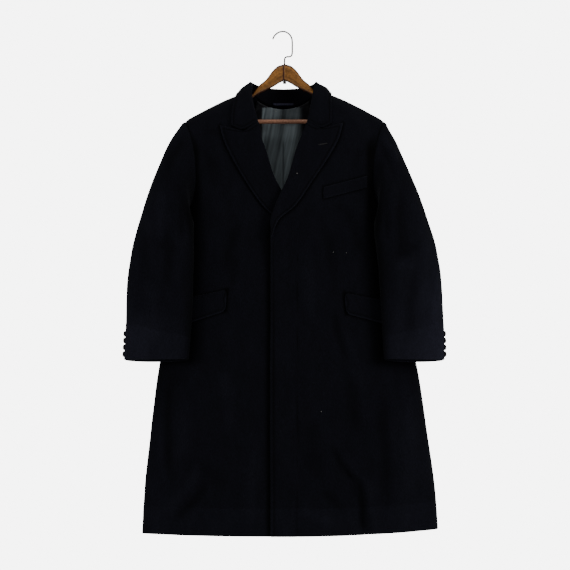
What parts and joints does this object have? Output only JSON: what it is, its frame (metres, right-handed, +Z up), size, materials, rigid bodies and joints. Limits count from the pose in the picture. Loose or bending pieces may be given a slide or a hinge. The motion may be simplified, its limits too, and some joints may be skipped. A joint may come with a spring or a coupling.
{
  "type": "wool overcoat on a clothes hanger",
  "caption": "Long single-breasted wool overcoat with peak lapels, concealed fly front, chest welt and slanted flap pockets, hanging closed on a wooden hanger with a trouser bar.",
  "frame": {"origin": "underside of the hook's bend, where a rail carries the hanger", "axes": "+Z up along the hanging coat; the coat's front faces -Y; +X is the wearer's left, the side that closes on top"},
  "size_m": [0.8102, 0.1499, 1.2679],
  "materials": {
    "wool": "black wool melton, matte with a short soft nap",
    "lining": "dark grey satin lining, soft sheen",
    "button": "black horn-like buttons, half gloss",
    "wood": "lacquered brown hardwood with fine straight grain",
    "bar_wood": "reddish brown stained dowel, satin",
    "steel": "nickel plated steel wire"
  },
  "bodies": {
    "root": {"front_over": "wool", "front_under": "wool", "back_over": "wool", "back_under": "wool", "top_sleeve_over": "wool", "under_sleeve_over": "wool", "lapel_over": "wool", "pocket_flap_over": "wool", "cuff_button_over_1": "button", "cuff_button_over_2": "button", "cuff_button_over_3": "button", "cuff_button_over_4": "button", "top_sleeve_under": "wool", "under_sleeve_under": "wool", "lapel_under": "wool", "pocket_flap_under": "wool", "cuff_button_under_1": "button", "cuff_button_under_2": "button", "cuff_button_under_3": "button", "cuff_button_under_4": "button", "collar": "wool", "hang_loop": "wool", "chest_welt": "wool", "back_lining": "lining", "hanger_arm_over": "wood", "hanger_arm_under": "wood", "hanger_bar": "bar_wood", "hanger_hook": "steel", "hook_nut": "steel"}
  },
  "joints": []
}
